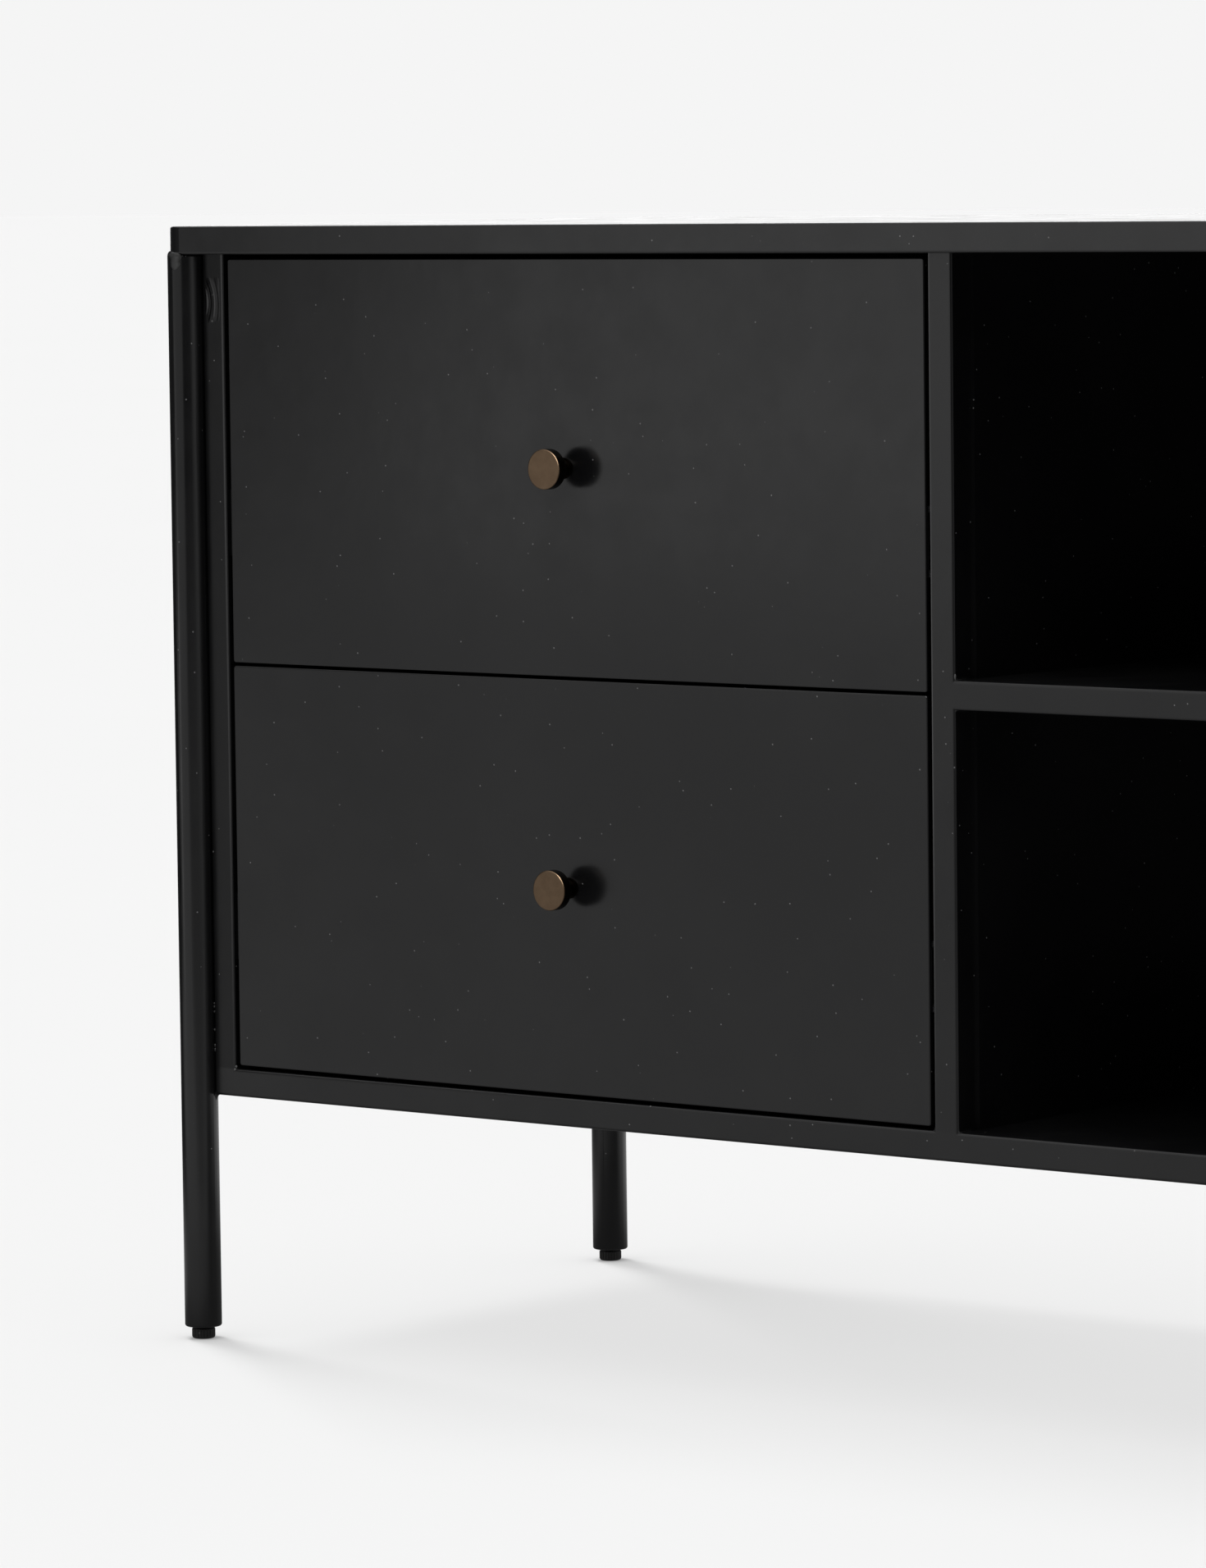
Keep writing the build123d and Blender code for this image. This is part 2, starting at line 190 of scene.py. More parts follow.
def zinc():
    """Bright zinc plate with rolling marks."""
    dark, bright = (0.42, 0.43, 0.45), (0.58, 0.59, 0.61)
    streak_scale, along_y, gloss_scale = 300.0, (1.0, 0.02, 1.0), 40.0
    smoothest, roughest, streak_strength, streak_relief = 0.26, 0.4, 0.1, 0.05 * MM
    s = Shader("zinc_plate")
    streak = s.noise(streak_scale, detail=4.0, vector=s.stretched(along_y))
    s.set("Base Color", s.mix(s.ramp(streak, *NOISE_SPAN), dark, bright))
    s.set("Metallic", 1.0)
    s.set("Roughness", s.ramp(s.noise(gloss_scale, detail=5.0), *NOISE_SPAN, smoothest, roughest))
    s.set("Normal", s.bump(streak, streak_strength, streak_relief))
    return s.material


def plywood(name, thickness_axis, grain):
    """Black-stained birch plywood: fine grain on its faces and bands of glued layers on its edges."""
    light, dark = (0.034, 0.025, 0.019), (0.018, 0.013, 0.010)
    flame, glue = (0.045, 0.032, 0.023), (0.012, 0.009, 0.007)
    fibre_scale, flame_scale, flame_share, layer_pitch, glue_share = 220.0, 16.0, 0.35, 3.0 * MM, 0.45
    fibre_span, flame_span, layer_span = (0.3, 0.75), (0.4, 0.7), (-0.4, 0.4)
    smoothest, roughest, fibre_strength, fibre_relief = 0.42, 0.58, 0.15, 0.1 * MM
    s = Shader(name)
    fibre = s.noise(fibre_scale, detail=5.0, roughness=0.6, vector=s.stretched(grain))
    broad = s.noise(flame_scale, detail=3.0, vector=s.stretched(grain))
    face = s.mix(s.ramp(fibre, *fibre_span), light, dark)
    face = s.mix(s.math("MULTIPLY", s.ramp(broad, *flame_span), flame_share), face, flame)
    split = s.add("ShaderNodeSeparateXYZ", Vector=s.place)
    layers = s.math("SINE", s.math("MULTIPLY", split.outputs[thickness_axis], FULL_TURN / layer_pitch))
    s.set("Base Color", s.mix(s.ramp(layers, *layer_span, 0.0, glue_share), face, glue))
    s.set("Roughness", s.ramp(fibre, *NOISE_SPAN, smoothest, roughest))
    s.set("Normal", s.bump(fibre, fibre_strength, fibre_relief))
    return s.material


# Each black coat has its darkest and lightest tone, and every piece of the frame its own gloss; the stile and
# post copies of the one coat reflect less, as painted shade on these pieces
COAT = ((0.002, 0.002, 0.0022), (0.0034, 0.0034, 0.0036))
# A lighter coat for the welds: painted sheen that stands in for the light their lumps catch from above
WELD_PAINTED_SHEEN_COAT = ((0.005, 0.005, 0.005), (0.012, 0.012, 0.012))
# A light coat for the spatter drops: painted glints where the drops catch light
SPATTER_PAINTED_GLINT_COAT = ((0.045, 0.045, 0.045), (0.07, 0.07, 0.07))
STEEL_COAT = ((0.005, 0.005, 0.005), (0.011, 0.01, 0.01))
SLIDE_COAT = ((0.03, 0.03, 0.031), (0.045, 0.045, 0.047))
iron = coated_iron("black_iron", *COAT, rough=0.22, specular=0.5, peel=0.05)
leg_iron = coated_iron("black_iron_leg", *COAT, rough=0.17, specular=0.5, peel=0.05)
frame_iron = coated_iron("black_iron_tube", *COAT, rough=0.22, specular=0.45, peel=0.05)
post_iron = coated_iron("black_iron_post", *COAT, rough=0.22, specular=0.4, peel=0.05)
stile_iron = coated_iron("black_iron_stile", *COAT, rough=0.22, specular=0.3, peel=0.05)
front_iron = coated_iron("black_iron_plate", *COAT, rough=0.19, specular=0.45, peel=0.05)
weld_iron_painted_sheen = coated_iron("black_iron_weld_painted_sheen", *WELD_PAINTED_SHEEN_COAT, rough=0.36, specular=0.6, peel=0.6, relief=0.3 * MM)
spatter_painted_glint = coated_iron("weld_spatter_painted_glint", *SPATTER_PAINTED_GLINT_COAT, rough=0.35, specular=0.5, peel=0.2)
black_steel = coated_iron("black_steel", *STEEL_COAT, rough=0.38, specular=0.5, peel=0.1)
slide_steel = coated_iron("black_slide_steel", *SLIDE_COAT, rough=0.34, specular=0.5, peel=0.05)
knob_bronze = bronze(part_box(f"{DRAWERS[0]}_knob")[0].y)
zinc_plate = zinc()
ALONG_Y, ALONG_X = (1.0, 0.04, 1.0), (0.04, 1.0, 1.0)
side_plywood = plywood("plywood_sides", "X", ALONG_Y)
end_plywood = plywood("plywood_ends", "Y", ALONG_X)
bottom_plywood = plywood("plywood_bottom", "Z", ALONG_X)

BY_ENDING = {
    "_front": front_iron,
    "_leg": leg_iron,
    "_stile": stile_iron,
    "_divider_post": post_iron,
    "_front_rail": frame_iron,
    "_box_sides": side_plywood,
    "drawer_bottom": bottom_plywood,
}
BY_SLOT = {
    "black_iron": iron,
    "black_steel": black_steel,
    "zinc_steel": zinc_plate,
    "slide_steel": slide_steel,
    "bronze": knob_bronze,
    "plywood": end_plywood,
}
for entry in frame["record"]["subparts"]:
    name = entry["node"]
    material = BY_SLOT[entry["material_slot"]]
    for ending, special in BY_ENDING.items():
        if name.endswith(ending):
            material = special
    mesh = nodes[name].data
    mesh.materials.clear()
    mesh.materials.append(material)


# Welds, grinding marks and screws

SLAB_CORNER = 18.0 * MM
POLE_OPENING = 0.0004
QUARTER_ARC = [j / 6 * math.pi / 2 for j in range(7)]


class Shell:
    """Closed skins gathered into one mesh."""

    def __init__(self):
        self.points = []
        self.faces = []

    def loft(self, rings):
        """A closed skin over rings that have equal counts of points, capped at both ends."""
        base = len(self.points)
        count = len(rings[0])
        last = base + count * (len(rings) - 1)
        self.points += [point for ring in rings for point in ring]
        self.faces.append(tuple(range(base, base + count)))
        self.faces.append(tuple(range(last, last + count)))
        for start in range(base, last, count):
            for j in range(count):
                k = (j + 1) % count
                self.faces.append((start + j, start + k, start + count + k, start + count + j))

    def finish(self, name, material, body, crease_deg=50):
        mesh = bpy.data.meshes.new(name)
        mesh.from_pydata(self.points, [], self.faces)
        work = bmesh.new()
        work.from_mesh(mesh)
        bmesh.ops.recalc_face_normals(work, faces=work.faces)
        work.to_mesh(mesh)
        work.free()
        mesh.shade_smooth()
        mesh.set_sharp_from_angle(angle=math.radians(crease_deg))
        mesh.materials.append(material)
        item = bpy.data.objects.new(name, mesh)
        scene.collection.objects.link(item)
        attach(item, body)


def ball_rings(steps):
    """Heights down a unit ball, each with the radius there, a little open at the poles."""
    heights = [math.cos(math.pi * i / steps) for i in range(steps + 1)]
    return [(v, math.sqrt(max(1 - v * v, POLE_OPENING))) for v in heights]


def turns(count):
    """Equal steps of one full turn."""
    return [j / count * FULL_TURN for j in range(count)]


def bead(shell, middle, half_sizes):
    """A drop of weld, a little uneven, with half sizes in millimetres."""
    steps, points, unevenness, waves = 10, 14, 0.12, 4
    across, deep, tall = half_sizes
    rings = []
    for v, radius in ball_rings(steps):
        girth = radius * (1 + unevenness * math.sin(waves * v))
        ring = []
        for t in turns(points):
            offset = (across * girth * math.cos(t), deep * girth * math.sin(t), tall * v)
            ring.append(Vector(middle) + Vector(offset) * MM)
        rings.append(ring)
    shell.loft(rings)


def leg_axis(row, side):
    """Middle of a leg, its radius, the signs that point from the middle of the case to it, and its top."""
    low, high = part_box(f"{row}_{side}_leg")
    outward = Vector((SIDES[side], -1 if row == "front" else 1))
    return (low + high) / 2, (high.x - low.x) / 2, outward, high.z


def rail_end(row):
    """Lowest and highest corner of a bottom rail, and the y of its outer face."""
    low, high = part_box(f"bottom_{row}_rail")
    return low, high, low.y if row == "front" else high.y


def leg_top_weld(row, side):
    """The weld that rounds off the crescent of a leg that stands proud of the slab's corner."""
    centre, radius, outward, top = leg_axis(row, side)
    height, skirt, sunk, overlap = 2.4 * MM, 1.4 * MM, 1.8 * MM, 0.1 * MM
    half_sweep, steps, arc = 35.5, 28, 6
    shift = (SLAB_CORNER - radius) * math.sqrt(2)
    proud = shift + radius - SLAB_CORNER
    corner = Vector((centre.x, centre.y)) - outward * (SLAB_CORNER - radius)
    diagonal = outward.normalized()
    across = Vector((-diagonal.y, diagonal.x))
    inner = SLAB_CORNER - overlap
    rings = []
    for i in range(steps + 1):
        turn = math.radians(-half_sweep + 2 * half_sweep * i / steps)
        ray = diagonal * math.cos(turn) + across * math.sin(turn)
        reach = shift * math.cos(turn) + math.sqrt(radius**2 - (shift * math.sin(turn)) ** 2)
        rise = height * math.sqrt(max(reach - SLAB_CORNER, 0.0) / proud)
        ring = []
        for j in range(arc + 1):
            t = j / arc * math.pi / 2
            r = inner + (reach - inner) * math.sin(t)
            ring.append((r, top - skirt + (rise + skirt) * math.cos(t)))
        ring += [(SLAB_CORNER - sunk, top - skirt), (SLAB_CORNER - sunk, top + rise)]
        rings.append([Vector((*(corner + ray * r), z)) for r, z in ring])
    shell = Shell()
    shell.loft(rings)
    shell.finish(f"{row}_{side}_leg_top_weld", iron, "case")
    dabs = Shell()
    for facing in (Vector((0, outward.y)), Vector((outward.x, 0))):
        weld_dab(dabs, centre, radius, facing, outward, top)
    dabs.finish(f"{row}_{side}_leg_weld_dabs", weld_iron_painted_sheen, "case")


def weld_dab(shell, centre, radius, facing, outward, top):
    """A lumpy dab of weld that bridges the joint between a leg's top and the slab's edge.

    On the outer faces it is ground flush, so that it stays inside the case's outline.
    """
    half_width, over, under, bulge, sunk = 5.0 * MM, 1.4 * MM, 10.4 * MM, 0.75 * MM, 1.1 * MM
    inset, steps, points = 0.9 * MM, 32, 36
    along = Vector((-facing.y, facing.x))
    along *= -math.copysign(1, along.dot(outward))
    rings = []
    for v, girth in ball_rings(steps):
        z = top + (v * over if v > 0 else v * under)
        ring = []
        for t in turns(points):
            ripple = 1 + 0.16 * math.sin(9 * v + 2.0) + 0.08 * math.sin(17 * v + t)
            lump = 0.75 + 0.25 * math.sin(7 * v + 2.2 * math.cos(t)) * math.cos(5 * v - 3 * math.cos(t))
            swell = math.sin(t) * girth
            depth = bulge * swell * lump if swell > 0 else sunk * swell
            place = math.cos(t) * girth * half_width * ripple + inset
            flush = radius - place**2 / (2 * radius) if v < 0 else radius
            spot = Vector((centre.x, centre.y)) + along * place + facing * (flush + depth)
            x = min(max(spot.x, cad_low.x), cad_high.x)
            y = min(max(spot.y, cad_low.y), cad_high.y)
            ring.append(Vector((x, y, z)))
        rings.append(ring)
    shell.loft(rings)


# Depth behind the rail's face and leg length of the fillet, in millimetres
RAIL_WELD = (
    (0.25, 0.6),
    (0.6, 2.8),
    (1.2, 3.8),
    (2.2, 4.0),
    (3.4, 3.8),
    (4.6, 3.4),
    (5.4, 2.6),
    (5.8, 0.8),
)


def rail_weld(row, side):
    """The fillet of weld in the corner under a bottom rail, where its end meets a leg."""
    centre, radius, outward, _ = leg_axis(row, side)
    low, _, face = rail_end(row)
    rounding, overlap = 2.0 * MM, 0.3 * MM
    rings = []
    for depth, size in RAIL_WELD:
        depth, size = depth * MM, size * MM
        y = face - outward.y * depth
        bulge = max(rounding - depth, 0.0)
        under = low.z + (rounding - math.sqrt(rounding**2 - bulge**2) if row == "front" else 0.0)
        wall = abs(centre.x) - math.sqrt(radius**2 - (y - centre.y) ** 2)
        ring = [(wall - size + size * math.cos(t), under - size + size * math.sin(t)) for t in QUARTER_ARC]
        ring.append((wall - size, under + overlap))
        ring.append((wall + overlap, under + overlap))
        ring.append((wall + overlap, under - size))
        rings.append([Vector((outward.x * x, y, z)) for x, z in ring])
    shell = Shell()
    shell.loft(rings)
    shell.finish(f"{row}_{side}_rail_weld", iron, "case")


# Height above the floor, half width and half height of each drop, in millimetres
TACKS = (
    (231.7, 0.8, 0.8),
    (229.5, 0.9, 0.9),
    (226.0, 0.75, 0.8),
    (213.6, 0.85, 1.0),
    (202.8, 0.75, 1.2),
    (199.8, 0.7, 1.3),
)


def tack_welds(row, side):
    """Drops of weld in the groove between a leg and the upright beside it, in three clusters."""
    outward = leg_axis(row, side)[2]
    _, high, face = rail_end(row)
    into_groove, behind_face = 0.4 * MM, 0.6 * MM
    x = outward.x * (high.x - into_groove)
    y = face - outward.y * behind_face
    shell = Shell()
    for z, across, tall in TACKS:
        bead(shell, (x, y, z * MM), (across, across, tall))
    shell.finish(f"{row}_{side}_tack_welds", weld_iron_painted_sheen, "case")


# Depth behind the frame's face, in millimetres, and share of the fillet's full size
CORNER_WELD = ((0.7, 0.55), (1.1, 0.9), (2.0, 1.0), (8.0, 1.0), (13.0, 0.8), (14.0, 0.3))


def corner_welds():
    """Small fillets of weld in the inner corners of the face frame, and drops of spatter beside them,
    coloured light as painted glints.
    """
    size, overlap = 2.0 * MM, 0.2 * MM
    rail_low, rail_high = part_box("bottom_front_rail")
    shelf_low, shelf_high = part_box("shelf_front_rail")
    fillets = Shell()
    drops = Shell()
    for side, sign in SIDES.items():
        stile_inner = min(abs(corner.x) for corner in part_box(f"front_{side}_stile"))
        post_inner, post_outer = sorted(abs(corner.x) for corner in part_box(f"{side}_divider_post"))
        for x, to_x, z, to_z in (
            (sign * stile_inner, -sign, rail_high.z, 1),
            (sign * post_outer, sign, rail_high.z, 1),
            (sign * post_inner, -sign, rail_high.z, 1),
            (sign * post_inner, -sign, shelf_low.z, -1),
            (sign * post_inner, -sign, shelf_high.z, 1),
        ):
            rings = []
            for depth, share in CORNER_WELD:
                r = size * share
                ring = [(r - r * math.sin(t), r - r * math.cos(t)) for t in QUARTER_ARC]
                ring += [(-overlap, r), (-overlap, -overlap), (r, -overlap)]
                y = rail_low.y + depth * MM
                rings.append([Vector((x + to_x * a, y, z + to_z * b)) for a, b in reversed(ring)])
            fillets.loft(rings)
        for inner, inset, depth, z, lift, half_sizes in (
            (stile_inner, -0.4, 0.6, rail_high.z, 1.5, (0.8, 0.7, 0.9)),
            (stile_inner, 0.6, 0.25, rail_high.z, -0.6, (0.9, 0.5, 0.8)),
            (post_inner, 0.0, 0.7, shelf_high.z, 2.2, (0.6, 0.6, 1.8)),
        ):
            bead(drops, (sign * (inner + inset * MM), rail_low.y + depth * MM, z + lift * MM), half_sizes)
    fillets.finish("frame_corner_welds", iron, "case")
    drops.finish("frame_corner_spatter_painted_glints", spatter_painted_glint, "case")


def ground_mark(side):
    """The swirl of curved strokes that a grinding disc left on a stile, a little below the slab."""
    low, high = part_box(f"front_{side}_stile")
    inward = -SIDES[side]
    outer = low.x if inward > 0 else high.x
    middle_z = high.z - 31.0 * MM
    start, end, half_height, relief, sunk, thick = 2.3, 16.2, 16.0, 0.55 * MM, 0.04 * MM, 0.4 * MM
    hub, squeeze, pitch, phase, fine_pitch = -2.0, 0.6, 7.0, 3.6, 2.1
    columns, rows = 56, 72
    width = columns + 1
    shell = Shell()
    for i in range(rows + 1):
        v = 2 * i / rows - 1
        for j in range(width):
            u = 2 * j / columns - 1
            a = start + (end - start) * j / columns
            b = half_height * v
            fade = max(1 - u * u, 0.0) * max(1 - v * v, 0.0)
            reach = math.hypot(a - hub, squeeze * b)
            stroke = 0.5 + 0.4 * math.sin(FULL_TURN * (reach - phase) / pitch + 0.05 * b)
            stroke += 0.1 * math.sin(FULL_TURN * reach / fine_pitch + 0.2 * b)
            lift = relief * min(1.0, 2.0 * fade) * stroke - sunk
            shell.points.append(Vector((outer + inward * a * MM, low.y - lift, middle_z + b * MM)))
    for i in range(rows):
        for j in range(columns):
            k = i * width + j
            shell.faces.append((k, k + 1, k + width + 1, k + width))
    rim = list(range(width)) + [i * width + columns for i in range(1, rows + 1)]
    rim += [rows * width + j for j in range(columns - 1, -1, -1)]
    rim += [i * width for i in range(rows - 1, 0, -1)]
    base = len(shell.points)
    shell.points += [shell.points[k] + Vector((0, thick, 0)) for k in rim]
    for k in range(len(rim)):
        n = (k + 1) % len(rim)
        shell.faces.append((rim[k], rim[n], base + n, base + k))
    shell.faces.append(tuple(range(base, base + len(rim))))
    shell.finish(f"{side}_stile_grinding_mark", stile_iron, "case")


# Radius and height of a pan head's rings, and radii of the rings in its cross recess, as shares
PAN_HEAD = ((1.0, -0.1), (1.0, 0.35), (0.93, 0.66), (0.76, 0.9), (0.52, 1.0), (0.46, 1.0))
RECESS = (0.42, 0.34, 0.26, 0.19, 0.14, 0.08)


def screw_heads(name, places, normal, radius, height, material, body):
    """Pan heads with a cross recess, on one flat face, each turned a little further than the last."""
    half_arm, recess_floor, points, spin_step, crease = 0.14, 0.35, 40, 0.9, 35
    normal = Vector(normal)
    first = normal.orthogonal().normalized()
    second = normal.cross(first)
    rings = [[(r, t, h) for t in turns(points)] for r, h in PAN_HEAD]
    for r in RECESS:
        ring = []
        for t in turns(points):
            off = r * min(abs(math.sin(t)), abs(math.cos(t)))
            ring.append((r, t, recess_floor if off < half_arm else 1.0))
        rings.append(ring)
    shell = Shell()
    for index, place in enumerate(places):
        spin = index * spin_step
        skin = []
        for ring in rings:
            spots = []
            for r, t, h in ring:
                ray = first * math.cos(t + spin) + second * math.sin(t + spin)
                spots.append(Vector(place) + ray * (r * radius) + normal * (h * height))
            skin.append(spots)
        shell.loft(skin)
    shell.finish(name, material, body, crease)


def back_screws():
    """Screws that hold the back panel to the uprights and to the rear rail."""
    per_upright, below_top, rail_pitch, rail_places = 5, 24 * MM, 203 * MM, (-3, -0.5, 0.5, 3)
    radius, height = 4.2 * MM, 2.2 * MM
    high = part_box("back_panel")[1]
    rail_low, rail_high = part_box("bottom_rear_rail")
    rail_z = (rail_low.z + rail_high.z) / 2
    climb = (high.z - below_top - rail_z) / (per_upright - 1)
    places = []
    for side in SIDES:
        for upright in (f"front_{side}_stile", f"{side}_divider_post"):
            a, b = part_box(upright)
            places += [((a.x + b.x) / 2, high.y, rail_z + climb * k) for k in range(per_upright)]
    places += [(k * rail_pitch, high.y, rail_z) for k in rail_places]
    screw_heads("back_panel_screws", places, (0, 1, 0), radius, height, black_steel, "case")


def slide_screws(drawer):
    """Screws that hold the inner channels of the slides to a drawer's sides."""
    sheet, radius, height = 1.2 * MM, 3.4 * MM, 1.5 * MM
    low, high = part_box(f"{drawer}_slide_inner_channels")
    box_low, box_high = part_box(f"{drawer}_box_sides")
    z = (low.z + high.z) / 2
    for end, x, normal in (("a", box_low.x - sheet, (-1, 0, 0)), ("b", box_high.x + sheet, (1, 0, 0))):
        places = [(x, low.y + reach * MM, z) for reach in (35, 160, 290, 365)]
        name = f"{drawer}_slide_screws_{end}"
        screw_heads(name, places, normal, radius, height, zinc_plate, drawer)


for row in ROWS:
    for side in SIDES:
        leg_top_weld(row, side)
        rail_weld(row, side)
        tack_welds(row, side)
corner_welds()
for side in SIDES:
    ground_mark(side)
back_screws()
for drawer in DRAWERS:
    slide_screws(drawer)


# Floor and what the object mirrors

BACKDROP = (0.913, 0.913, 0.913)
FLOOR_GLOW = 0.609
AMBIENT = 0.05
FRONT_GLOW = 0.53
RIGHT_GLOW = 0.62
TOP_GLOW = 1.2
WHITE = (1.0, 1.0, 1.0, 1.0)
BLACK = (0.0, 0.0, 0.0, 1.0)


def flat_square(name, reach, z, material):
    mesh = bpy.data.meshes.new(name)
    corners = [(-reach, -reach, z), (reach, -reach, z), (reach, reach, z), (-reach, reach, z)]
    mesh.from_pydata(corners, [], [(0, 1, 2, 3)])
    mesh.materials.append(material)
    item = bpy.data.objects.new(name, mesh)
    scene.collection.objects.link(item)
    return item


def floor():
    """A matt pale floor that glows a little, and less so close to the feet, where the dimmed glow is a
    painted contact shadow.
    """
    dark, light, tint_scale = (0.049, 0.049, 0.049), (0.051, 0.051, 0.051), 0.8
    matt_scale, smoothest, roughest = 30.0, 0.85, 0.95
    contact_reach, contact_span, painted_shadow_share, samples = 0.12, (0.2, 1.0), 0.45, 12
    half_side = 90.0
    s = Shader("pale_floor")
    s.set("Base Color", s.mix(s.noise(tint_scale, detail=3.0), dark, light))
    s.set("Roughness", s.ramp(s.noise(matt_scale), *NOISE_SPAN, smoothest, roughest))
    s.set("Specular IOR Level", 0.0)
    s.set("Emission Color", WHITE)
    # Painted contact shadow: the glow is dimmed where the feet and legs stand close
    ao_for_painted_shadow = s.add("ShaderNodeAmbientOcclusion", {"samples": samples}, Distance=contact_reach).outputs["AO"]
    s.set("Emission Strength", s.ramp(ao_for_painted_shadow, *contact_span, painted_shadow_share * FLOOR_GLOW, FLOOR_GLOW))
    plane = flat_square("floor", half_side, 0, s.material)
    plane.visible_glossy = False
    plane.visible_shadow = False


def mirrored_floor():
    """The floor that the object mirrors: lit in front and behind, dim at the far left, and dim under the
    case, where a painted shadow of the case stands.
    """
    ahead_glow, level_glow, behind_glow = 0.62, 0.45, 0.5
    right_share, left_share, painted_case_shadow_share = 0.55, 0.08, 0.3
    ahead_y, ahead_x, level_x = (-1.0, -0.5), (-0.8, -0.2), (-2.0, -1.2)
    behind_start, behind_end, behind_left = (0.35, 0.85), (1.3, 2.2), (-3.0, -2.4)
    far_left_x, far_left_y = (-3.4, -2.4), (-1.6, -2.6)
    past_end, inside, outside = 0.35, 0.1, 0.3
    half_side, rise = 8.0, 1.0 * MM
    low, high = cad_low, cad_high
    s = Shader("floor_light")
    s.set("Base Color", BLACK)
    s.set("Specular IOR Level", 0.0)
    s.set("Emission Color", WHITE)
    place = s.add("ShaderNodeSeparateXYZ", Vector=s.place)
    x, y = place.outputs["X"], place.outputs["Y"]
    ahead = s.math("MULTIPLY", s.ramp(y, *ahead_y, ahead_glow, 0.0), s.ramp(x, *ahead_x, 1.0, right_share))
    level = s.math("MULTIPLY", s.ramp(y, *ahead_y, 0.0, level_glow), s.ramp(x, *level_x, left_share, 1.0))
    behind = s.math(
        "MULTIPLY", s.ramp(y, *behind_start, 0.0, behind_glow), s.ramp(y, *behind_end, 1.0, 0.0)
    )
    behind = s.math("MULTIPLY", behind, s.ramp(x, *behind_left))
    ahead = s.math("MULTIPLY", ahead, s.math("MAXIMUM", s.ramp(x, *far_left_x), s.ramp(y, *far_left_y)))
    lit = s.math("ADD", s.math("ADD", ahead, level), behind)
    left, right = s.ramp(x, low.x, low.x - past_end), s.ramp(x, high.x, high.x + past_end)
    front = s.ramp(y, low.y + inside, low.y - outside)
    back = s.ramp(y, high.y - inside, high.y + outside)
    clear = s.math("MAXIMUM", s.math("MAXIMUM", left, right), s.math("MAXIMUM", front, back))
    # Painted shadow of the case: the mirrored glow is dimmed over the case's footprint
    s.set("Emission Strength", s.math("MULTIPLY", lit, s.ramp(clear, 0.0, 1.0, painted_case_shadow_share, 1.0)))
    s.material.cycles.emission_sampling = "NONE"
    card = flat_square("mirrored_floor", half_side, rise, s.material)
    card.visible_camera = False
    card.visible_diffuse = False
    card.visible_shadow = False


def studio():
    """A pale backdrop for the camera, and soft windows of light round the object for what it mirrors."""
    world = bpy.data.worlds.new("studio")
    world.use_nodes = True
    g = Graph(world.node_tree)
    coords = g.add("ShaderNodeTexCoord").outputs["Generated"]
    x, y, z = g.add("ShaderNodeSeparateXYZ", Vector=coords).outputs
    to_degrees = 180 / math.pi
    turn = g.math("MULTIPLY", g.math("ARCTAN2", x, g.math("MULTIPLY", y, -1.0)), to_degrees)
    lift = g.math("MULTIPLY", g.math("ARCSINE", z), to_degrees)

    def window(value, low, high, soft_low, soft_high):
        """1 between low and high, in degrees, falling to 0 over the soft stretches outside them."""
        return g.math("MULTIPLY", g.ramp(value, low - soft_low, low), g.ramp(value, high + soft_high, high))

    front = window(turn, low=-40.5, high=6, soft_low=4, soft_high=10)
    front_height = window(lift, low=-40, high=30, soft_low=18, soft_high=18)
    right = window(turn, low=80, high=165, soft_low=28, soft_high=18)
    right_height = window(lift, low=-40, high=40, soft_low=18, soft_high=18)
    all_round = window(turn, low=-181, high=181, soft_low=1, soft_high=1)
    overhead = window(lift, low=48, high=91, soft_low=22, soft_high=1)
    total = AMBIENT
    for strength, across, up in (
        (FRONT_GLOW, front, front_height),
        (RIGHT_GLOW, right, right_height),
        (TOP_GLOW, all_round, overhead),
    ):
        total = g.math("ADD", total, g.math("MULTIPLY", g.math("MULTIPLY", across, up), strength))
    around = g.add("ShaderNodeBackground", Strength=total)
    behind = g.add("ShaderNodeBackground", Color=(*BACKDROP, 1.0))
    either = g.add("ShaderNodeMixShader")
    g.feed(either.inputs[0], g.add("ShaderNodeLightPath").outputs["Is Camera Ray"])
    g.feed(either.inputs[1], around.outputs[0])
    g.feed(either.inputs[2], behind.outputs[0])
    g.add("ShaderNodeOutputWorld", Surface=either.outputs[0])
    scene.world = world


# Lights

legs = [f"front_{side}_leg" for side in SIDES]
feet = [f"{row}_{side}_{piece}" for row in ROWS for side in SIDES for piece in ("leg", "glide")]
posts = [f"{side}_divider_post" for side in SIDES]
stiles = [f"front_{side}_stile" for side in SIDES] + [f"{side}_stile_grinding_mark" for side in SIDES]
knobs = [f"{drawer}_knob" for drawer in DRAWERS]


def gathered(name, members):
    """A collection of the named objects, for a light that reaches only these or is blocked only by these."""
    group = bpy.data.collections.new(name)
    for member in members:
        group.objects.link(scene.objects[member])
    return group


def lamp_towards(light, direction):
    lamp = bpy.data.objects.new(light.name, light)
    lamp.rotation_mode = "QUATERNION"
    lamp.rotation_quaternion = Vector(direction).to_track_quat("-Z", "Y")
    scene.collection.objects.link(lamp)
    return lamp


def sun(name, strength, angle_deg, direction):
    """Soft light from one direction, which the object doesn't mirror."""
    light = bpy.data.lights.new(name, "SUN")
    light.energy = strength
    light.angle = math.radians(angle_deg)
    lamp = lamp_towards(light, direction)
    lamp.visible_glossy = False
    return lamp


def softbox(name, radiance, centre, aim, width, height, lit=None):
    """A lit panel that the object mirrors, seen by the named pieces alone where these are given."""
    light = bpy.data.lights.new(name, "AREA")
    light.shape = "RECTANGLE"
    light.size = width
    light.size_y = height
    light.energy = math.pi * width * height * radiance
    lamp = lamp_towards(light, Vector(aim) - Vector(centre))
    lamp.location = centre
    lamp.visible_camera = False
    lamp.visible_diffuse = False
    if lit:
        lamp.light_linking.receiver_collection = gathered(f"{name}_lit", lit)


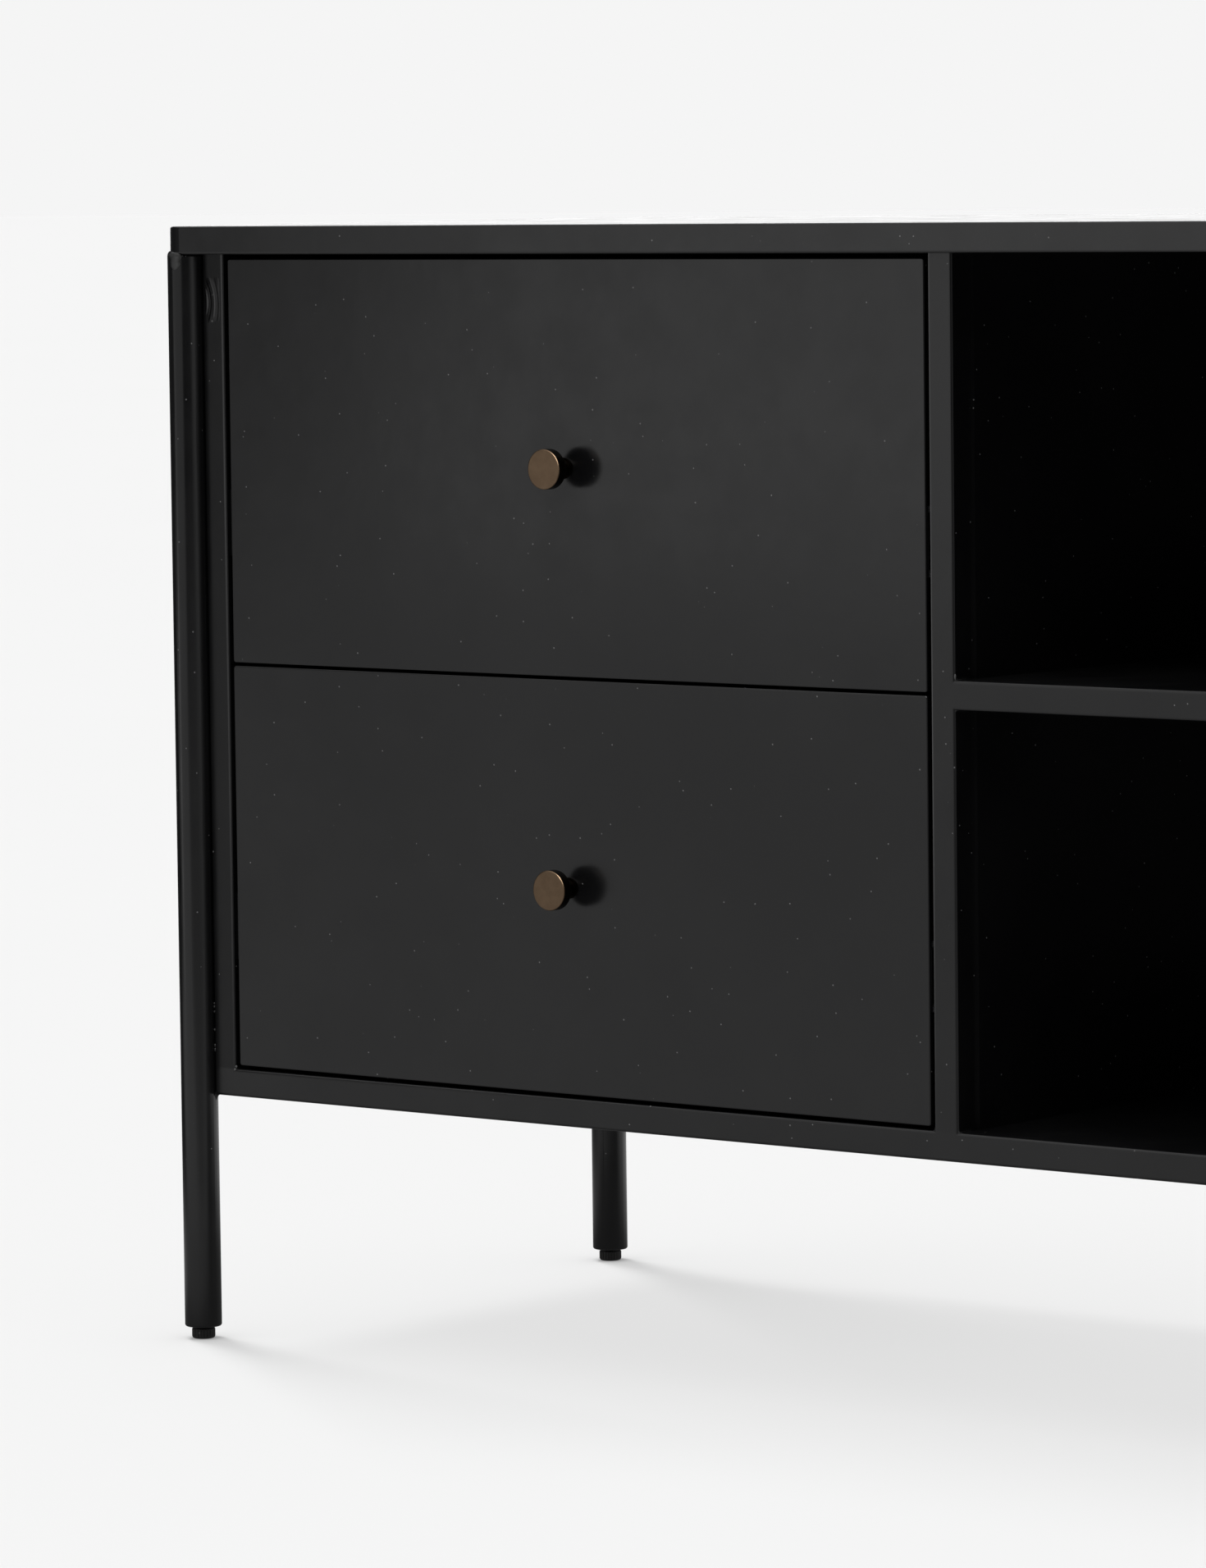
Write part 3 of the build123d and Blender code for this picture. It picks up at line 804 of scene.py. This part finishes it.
def lights():
    sun("overhead", strength=4.0, angle_deg=60, direction=(0.12, 0.2, -1.0))
    sun("key", strength=5.0, angle_deg=20, direction=(0.5, -0.15, -1.0))
    leg_key = sun("leg_key", strength=11.0, angle_deg=15, direction=(0.66, -0.29, -1.0))
    leg_key.light_linking.receiver_collection = gathered("leg_key_lit", ["floor"])
    leg_key.light_linking.blocker_collection = gathered("leg_key_blockers", feet)
    all_but_legs = [item.name for item in scene.objects if item.type == "MESH" and item.name not in legs]
    for name, radiance, centre, aim, width, height, lit in (
        ("front_box", 0.5, (-1.45, -2.2, 1.4), (-1.45, 0.0, 1.4), 2.0, 2.0, all_but_legs),
        ("left_box", 0.5, (-2.78, -1.91, 0.1), (-0.94, -0.22, 0.1), 0.45, 1.4, legs),
        ("post_box", 1.2, (-2.6, -1.0, 0.45), (-0.31, -0.22, 0.45), 2.4, 1.2, posts),
        ("stile_box", 1.2, (-0.3, -2.2, 0.45), (-0.91, -0.22, 0.45), 2.4, 1.2, stiles),
        ("back_box", 1.8, (-3.6, 3.95, 1.5), (-0.5, 0.0, 0.8), 5.0, 1.6, ["top_panel"]),
        ("high_box", 9.0, (0.05, -1.45, 2.6), (-0.6, -0.25, 0.5), 1.1, 1.1, None),
        ("rim_box", 7.0, (0.4, -1.7, 2.2), (-0.61, -0.25, 0.45), 2.3, 1.8, knobs),
        ("side_box", 0.5, (-2.6, 0.0, 0.4), (-0.95, 0.0, 0.4), 2.4, 1.8, ["left_side_panel"]),
    ):
        softbox(name, radiance, centre, aim, width, height, lit)


# Camera

IMAGE_HEIGHT = 1912
FOCAL_PIXELS = 9179.0
SENSOR = 36.0
CAMERA_FAR = 500
CAMERA_PLACE = Vector((2.5066, -4.0236, 0.8021))
CAMERA_YAW = math.radians(39.056)
CAMERA_PITCH = math.radians(4.724)
CAMERA_ROLL = math.radians(-0.689)


def camera():
    """The photo's camera, fitted to the edges of the slab, the legs and the drawers."""
    level = Vector((-math.sin(CAMERA_YAW), math.cos(CAMERA_YAW), 0))
    right = Vector((math.cos(CAMERA_YAW), math.sin(CAMERA_YAW), 0))
    up = Vector((0, 0, 1))
    ahead = level * math.cos(CAMERA_PITCH) - up * math.sin(CAMERA_PITCH)
    above = up * math.cos(CAMERA_PITCH) + level * math.sin(CAMERA_PITCH)
    across = right * math.cos(CAMERA_ROLL) + above * math.sin(CAMERA_ROLL)
    above = above * math.cos(CAMERA_ROLL) - right * math.sin(CAMERA_ROLL)
    data = bpy.data.cameras.new("camera")
    data.sensor_width = SENSOR
    data.lens = FOCAL_PIXELS / IMAGE_HEIGHT * SENSOR
    data.clip_end = CAMERA_FAR
    eye = bpy.data.objects.new("camera", data)
    scene.collection.objects.link(eye)
    turn = Matrix((across, above, -ahead)).transposed().to_4x4()
    eye.matrix_world = Matrix.Translation(CAMERA_PLACE) @ turn
    scene.camera = eye


floor()
mirrored_floor()
studio()
lights()
camera()
